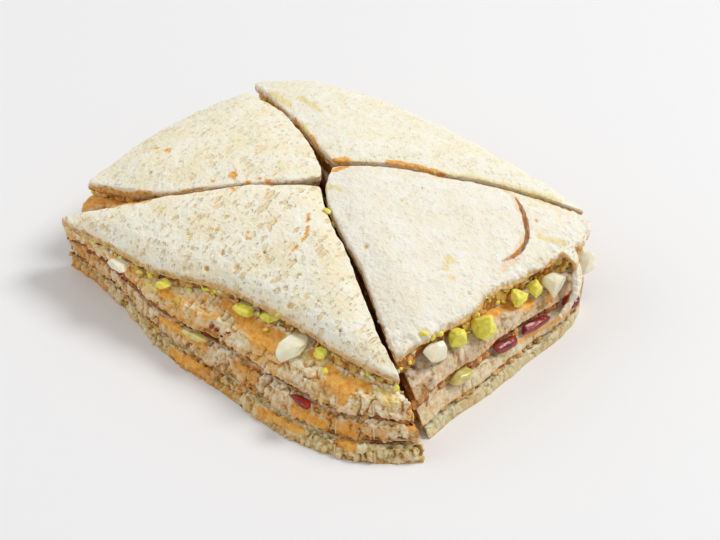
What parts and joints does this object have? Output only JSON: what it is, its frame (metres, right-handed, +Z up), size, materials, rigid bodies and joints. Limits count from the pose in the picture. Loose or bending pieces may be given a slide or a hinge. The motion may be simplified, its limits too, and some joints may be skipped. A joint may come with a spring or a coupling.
{
  "type": "triple-decker sandwich",
  "caption": "Crustless triple-decker sandwich of soft white bread with egg, red pepper and tuna fillings, cut along both diagonals into wedges that lie together.",
  "frame": {"origin": "middle of the bounding box, at the level of the flat underside", "axes": "+X along the long side, towards the short wedge with the torn top slice; +Y away from the long wedge that faces the viewer; +Z up"},
  "size_m": [0.1938, 0.1634, 0.0509],
  "materials": {
    "bread_top": "matt",
    "bread_inner": "matt",
    "bread_bottom": "matt",
    "egg_filling": "moist",
    "pepper_filling": "moist",
    "tuna_filling": "moist",
    "egg_white": "glassy",
    "egg_yolk": "crumbly",
    "red_pepper": "glossy",
    "pale_pepper": "glossy"
  },
  "bodies": {
    "root": {"back_bread_1": "bread_top", "back_bread_2": "bread_inner", "back_bread_3": "bread_inner", "back_bread_4": "bread_bottom", "back_egg": "egg_filling", "back_pepper": "pepper_filling", "back_tuna": "tuna_filling", "egg_white_1": "egg_white", "egg_white_2": "egg_white", "egg_white_3": "egg_white", "egg_white_4": "egg_white", "egg_white_5": "egg_white", "front_bread_1": "bread_top", "front_bread_2": "bread_inner", "front_bread_3": "bread_inner", "front_bread_4": "bread_bottom", "front_egg": "egg_filling", "front_pepper": "pepper_filling", "front_tuna": "tuna_filling", "left_bread_1": "bread_top", "left_bread_2": "bread_inner", "left_bread_3": "bread_inner", "left_bread_4": "bread_bottom", "left_egg": "egg_filling", "left_pepper": "pepper_filling", "left_tuna": "tuna_filling", "pale_pepper_1": "pale_pepper", "pale_pepper_2": "pale_pepper", "red_pepper_1": "red_pepper", "red_pepper_2": "red_pepper", "red_pepper_3": "red_pepper", "red_pepper_4": "red_pepper", "right_bread_1": "bread_top", "right_bread_2": "bread_inner", "right_bread_3": "bread_inner", "right_bread_4": "bread_bottom", "right_egg": "egg_filling", "right_pepper": "pepper_filling", "right_tuna": "tuna_filling", "yolk_1": "egg_yolk", "yolk_2": "egg_yolk", "yolk_3": "egg_yolk", "yolk_4": "egg_yolk", "yolk_5": "egg_yolk", "yolk_6": "egg_yolk", "yolk_7": "egg_yolk", "yolk_8": "egg_yolk"}
  },
  "joints": []
}
